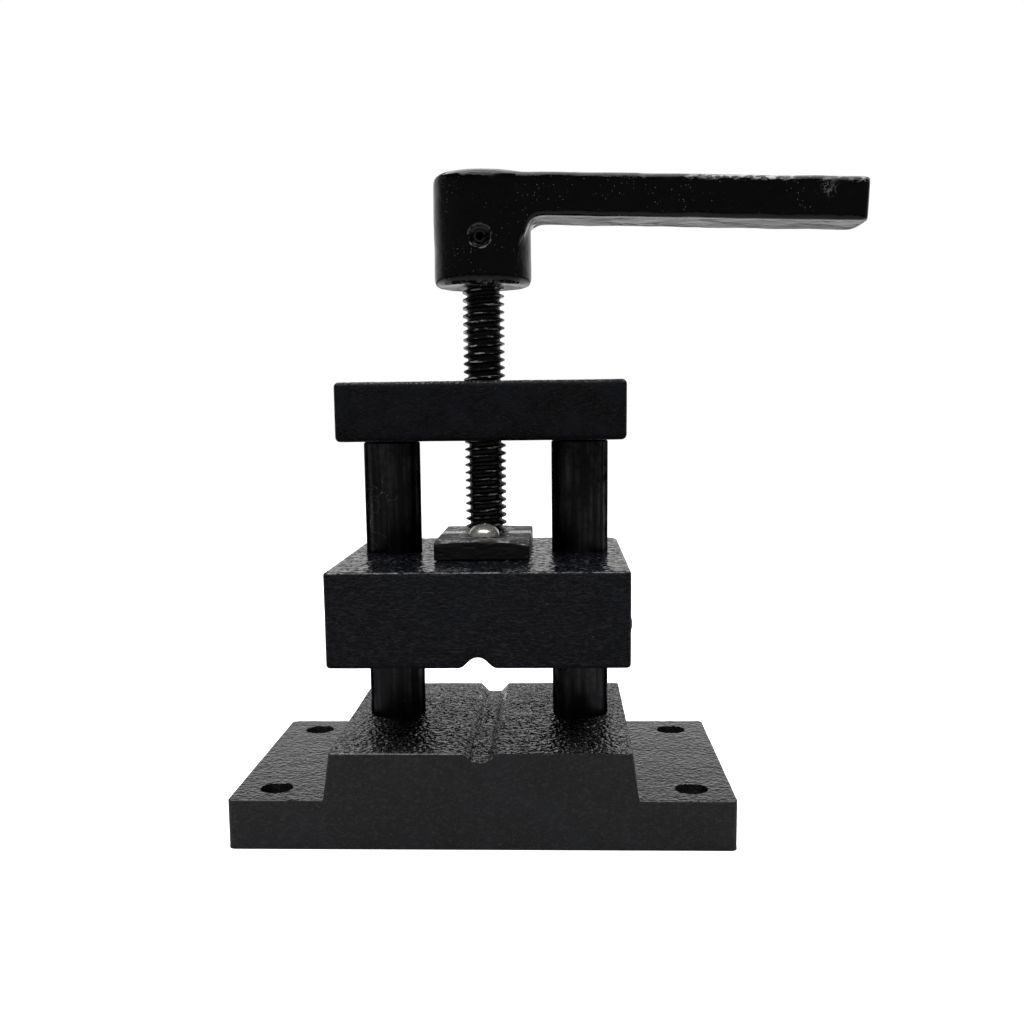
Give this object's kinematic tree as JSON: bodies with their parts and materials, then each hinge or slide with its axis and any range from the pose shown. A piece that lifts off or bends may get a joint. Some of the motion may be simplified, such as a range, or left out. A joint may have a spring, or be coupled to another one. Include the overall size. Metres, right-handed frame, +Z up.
{
  "type": "bench vise",
  "caption": "Two-column screw vise: cast base with bolt-down ears, sliding upper jaw with V grooves, top bridge, trapezoidal clamp screw and cast lever handle.",
  "frame": {"origin": "centre of the base's flat underside, on the surface that the vise stands on", "axes": "+Z up along the clamp screw, -Y towards the front edge of the jaws, +X towards the right-hand ear, where the lever points at rest"},
  "size_m": [0.2353, 0.113, 0.2447],
  "materials": {
    "cast_paint": "satin",
    "lever_enamel": "gloss",
    "column_steel": "satin",
    "screw_steel": "satin",
    "hardened_steel": "satin",
    "plate_steel": "satin",
    "bright_zinc": "polished",
    "black_fastener": "satin"
  },
  "bodies": {
    "frame": {"base_casting": "cast_paint", "guide_column_left": "column_steel", "guide_column_right": "column_steel", "top_bridge": "cast_paint", "base_bolt_left": "black_fastener", "base_bolt_right": "black_fastener", "base_washer_left": "black_fastener", "base_washer_right": "black_fastener", "bridge_bolt_left": "black_fastener", "bridge_bolt_right": "black_fastener", "bridge_washer_left": "black_fastener", "bridge_washer_right": "black_fastener"},
    "jaw": {"moving_jaw": "cast_paint", "thrust_disc": "hardened_steel", "retainer_plate_front": "plate_steel", "retainer_plate_rear": "plate_steel", "retainer_screw_front": "bright_zinc", "retainer_screw_rear": "bright_zinc"},
    "screw": {"clamp_screw": "screw_steel", "lever_handle": "lever_enamel", "lever_roll_pin": "hardened_steel"}
  },
  "joints": [
    {"name": "jaw_slide", "type": "slide", "parent": "frame", "child": "jaw", "axis": [0, 0, 1], "range_m": [-0.0307, 0.031]},
    {"name": "screw_turn", "type": "hinge", "parent": "jaw", "child": "screw", "pos_m": [0, 0.006, 0.1014], "axis": [0, 0, 1], "range_deg": [-3680, 3700]}
  ],
  "couplings": [
    {"joint": "jaw_slide", "follows": "screw_turn", "m_per_rad": 0.00047746}
  ]
}
